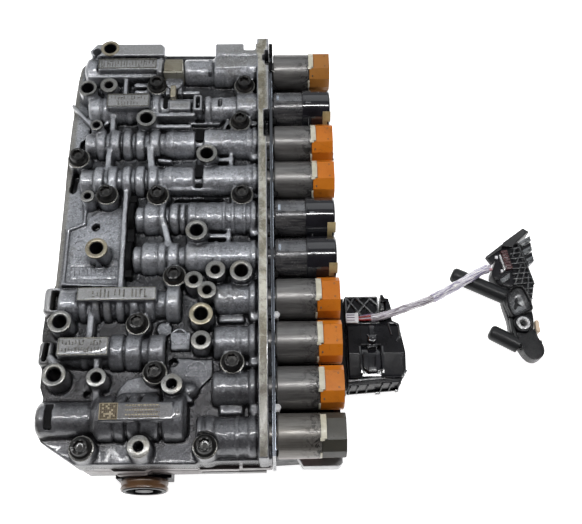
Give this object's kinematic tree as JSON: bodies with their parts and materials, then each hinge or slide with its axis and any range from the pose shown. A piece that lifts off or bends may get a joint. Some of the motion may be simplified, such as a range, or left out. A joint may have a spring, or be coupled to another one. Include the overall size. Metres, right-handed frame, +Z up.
{
  "type": "transmission valve body",
  "caption": "Automatic gearbox valve body: stacked castings with bolted bosses and spool bores, a row of solenoids, an electronics base and a cabled position sensor.",
  "frame": {"origin": "middle of the base of the unit, on the surface it lies on, measured without the cabled sensor", "axes": "+Z up, +X towards the solenoid caps, +Y towards the back row"},
  "size_m": [0.343, 0.3216, 0.078],
  "materials": {
    "casting": "cast, oily",
    "casting_lower": "cast",
    "plate_steel": "stamped",
    "bolt_steel": "dark phosphate",
    "holder_steel": "dark",
    "clip_black": "satin",
    "plug_alloy": "turned",
    "spool_alloy": "anodised",
    "spring_steel": "drawn wire",
    "can_steel": "satin, smudged",
    "can_black": "gloss black",
    "armature_steel": "ground",
    "cap_orange": "satin",
    "cap_black": "gloss",
    "cap_grey": "satin, soiled",
    "bobbin_cream": "satin",
    "sink_alloy": "plain",
    "module_black": "moulded",
    "plug_black": "moulded",
    "ring_brown": "satin",
    "damper_tan": "moulded",
    "housing_black": "moulded",
    "latch_black": "moulded",
    "plug_white": "moulded",
    "sleeve_clear": "translucent",
    "sensor_black": "moulded",
    "lock_maroon": "moulded",
    "bracket_black": "moulded",
    "bush_steel": "turned",
    "stick_black": "moulded"
  },
  "bodies": {
    "root": {"upper_casting": "casting", "lower_casting": "casting_lower", "separator_plate": "plate_steel", "casting_bolts": "bolt_steel", "plate_screws": "bolt_steel", "solenoid_plate": "holder_steel", "keeper_clips": "clip_black", "bore_plugs": "plug_alloy", "valve_springs": "spring_steel", "solenoid_can_01": "can_steel", "solenoid_can_03": "can_steel", "solenoid_can_04": "can_steel", "solenoid_can_07": "can_steel", "solenoid_can_08": "can_steel", "solenoid_can_09": "can_steel", "solenoid_can_10": "can_steel", "solenoid_can_02": "can_black", "solenoid_can_05": "can_black", "solenoid_can_06": "can_black", "solenoid_caps_orange": "cap_orange", "solenoid_caps_black": "cap_black", "solenoid_cap_grey": "cap_grey", "frame_foot": "cap_grey", "bobbin_tabs": "bobbin_cream", "heat_sink_plate": "sink_alloy", "electronics_housing": "module_black", "contact_frame": "module_black", "main_connector": "plug_black", "connector_ring": "ring_brown", "pressure_damper": "damper_tan", "plug_housing": "housing_black", "cable_plug": "plug_white", "signal_cable": "sleeve_clear", "sensor_connector": "sensor_black", "sensor_lock": "lock_maroon", "sensor_bracket": "bracket_black", "bracket_bush": "bush_steel", "sensor_stick_long": "stick_black", "sensor_stick_short": "stick_black"},
    "spool_row_a": {"spool_row_a": "spool_alloy"},
    "spool_row_b": {"spool_row_b": "spool_alloy"},
    "spool_row_c": {"spool_row_c": "spool_alloy"},
    "spool_row_d": {"spool_row_d": "spool_alloy"},
    "spool_row_e": {"spool_row_e": "spool_alloy"},
    "spool_row_f": {"spool_row_f": "spool_alloy"},
    "spool_row_g": {"spool_row_g": "spool_alloy"},
    "spool_row_h": {"spool_row_h": "spool_alloy"},
    "spool_row_j": {"spool_row_j": "spool_alloy"},
    "armature_01": {"armature_01": "armature_steel"},
    "armature_02": {"armature_02": "armature_steel"},
    "armature_03": {"armature_03": "armature_steel"},
    "armature_04": {"armature_04": "armature_steel"},
    "armature_05": {"armature_05": "armature_steel"},
    "armature_06": {"armature_06": "armature_steel"},
    "armature_07": {"armature_07": "armature_steel"},
    "armature_08": {"armature_08": "armature_steel"},
    "armature_09": {"armature_09": "armature_steel"},
    "armature_10": {"armature_10": "armature_steel"},
    "plug_latch": {"plug_latch": "latch_black"}
  },
  "joints": [
    {"name": "spool_row_a_slide", "type": "slide", "parent": "root", "child": "spool_row_a", "axis": [-1, 0, 0], "range_m": [0, 0.004], "stiffness_N_per_m": 2000, "springref_m": -0.008, "deforming": ["valve_springs"]},
    {"name": "spool_row_b_slide", "type": "slide", "parent": "root", "child": "spool_row_b", "axis": [-1, 0, 0], "range_m": [0, 0.004], "stiffness_N_per_m": 2000, "springref_m": -0.008, "deforming": ["valve_springs"]},
    {"name": "spool_row_c_slide", "type": "slide", "parent": "root", "child": "spool_row_c", "axis": [-1, 0, 0], "range_m": [0, 0.004], "stiffness_N_per_m": 2000, "springref_m": -0.008, "deforming": ["valve_springs"]},
    {"name": "spool_row_d_slide", "type": "slide", "parent": "root", "child": "spool_row_d", "axis": [-1, 0, 0], "range_m": [0, 0.004], "stiffness_N_per_m": 2000, "springref_m": -0.008, "deforming": ["valve_springs"]},
    {"name": "spool_row_e_slide", "type": "slide", "parent": "root", "child": "spool_row_e", "axis": [-1, 0, 0], "range_m": [0, 0.004], "stiffness_N_per_m": 2000, "springref_m": -0.008, "deforming": ["valve_springs"]},
    {"name": "spool_row_f_slide", "type": "slide", "parent": "root", "child": "spool_row_f", "axis": [-1, 0, 0], "range_m": [0, 0.004], "stiffness_N_per_m": 2000, "springref_m": -0.008, "deforming": ["valve_springs"]},
    {"name": "spool_row_g_slide", "type": "slide", "parent": "root", "child": "spool_row_g", "axis": [-1, 0, 0], "range_m": [0, 0.004], "stiffness_N_per_m": 2000, "springref_m": -0.008, "deforming": ["valve_springs"]},
    {"name": "spool_row_h_slide", "type": "slide", "parent": "root", "child": "spool_row_h", "axis": [-1, 0, 0], "range_m": [0, 0.004], "stiffness_N_per_m": 2000, "springref_m": -0.008, "deforming": ["valve_springs"]},
    {"name": "spool_row_j_slide", "type": "slide", "parent": "root", "child": "spool_row_j", "axis": [-1, 0, 0], "range_m": [0, 0.004], "stiffness_N_per_m": 2000, "springref_m": -0.008, "deforming": ["valve_springs"]},
    {"name": "armature_01_slide", "type": "slide", "parent": "root", "child": "armature_01", "axis": [-1, 0, 0], "range_m": [0, 0.0015], "stiffness_N_per_m": 1500, "springref_m": -0.003},
    {"name": "armature_02_slide", "type": "slide", "parent": "root", "child": "armature_02", "axis": [-1, 0, 0], "range_m": [0, 0.0015], "stiffness_N_per_m": 1500, "springref_m": -0.003},
    {"name": "armature_03_slide", "type": "slide", "parent": "root", "child": "armature_03", "axis": [-1, 0, 0], "range_m": [0, 0.0015], "stiffness_N_per_m": 1500, "springref_m": -0.003},
    {"name": "armature_04_slide", "type": "slide", "parent": "root", "child": "armature_04", "axis": [-1, 0, 0], "range_m": [0, 0.0015], "stiffness_N_per_m": 1500, "springref_m": -0.003},
    {"name": "armature_05_slide", "type": "slide", "parent": "root", "child": "armature_05", "axis": [-1, 0, 0], "range_m": [0, 0.0015], "stiffness_N_per_m": 1500, "springref_m": -0.003},
    {"name": "armature_06_slide", "type": "slide", "parent": "root", "child": "armature_06", "axis": [-1, 0, 0], "range_m": [0, 0.0015], "stiffness_N_per_m": 1500, "springref_m": -0.003},
    {"name": "armature_07_slide", "type": "slide", "parent": "root", "child": "armature_07", "axis": [-1, 0, 0], "range_m": [0, 0.0015], "stiffness_N_per_m": 1500, "springref_m": -0.003},
    {"name": "armature_08_slide", "type": "slide", "parent": "root", "child": "armature_08", "axis": [-1, 0, 0], "range_m": [0, 0.0015], "stiffness_N_per_m": 1500, "springref_m": -0.003},
    {"name": "armature_09_slide", "type": "slide", "parent": "root", "child": "armature_09", "axis": [-1, 0, 0], "range_m": [0, 0.0015], "stiffness_N_per_m": 1500, "springref_m": -0.003},
    {"name": "armature_10_slide", "type": "slide", "parent": "root", "child": "armature_10", "axis": [-1, 0, 0], "range_m": [0, 0.0015], "stiffness_N_per_m": 1500, "springref_m": -0.003},
    {"name": "plug_latch_slide", "type": "slide", "parent": "root", "child": "plug_latch", "axis": [0, -1, 0], "range_m": [0, 0.003]}
  ]
}
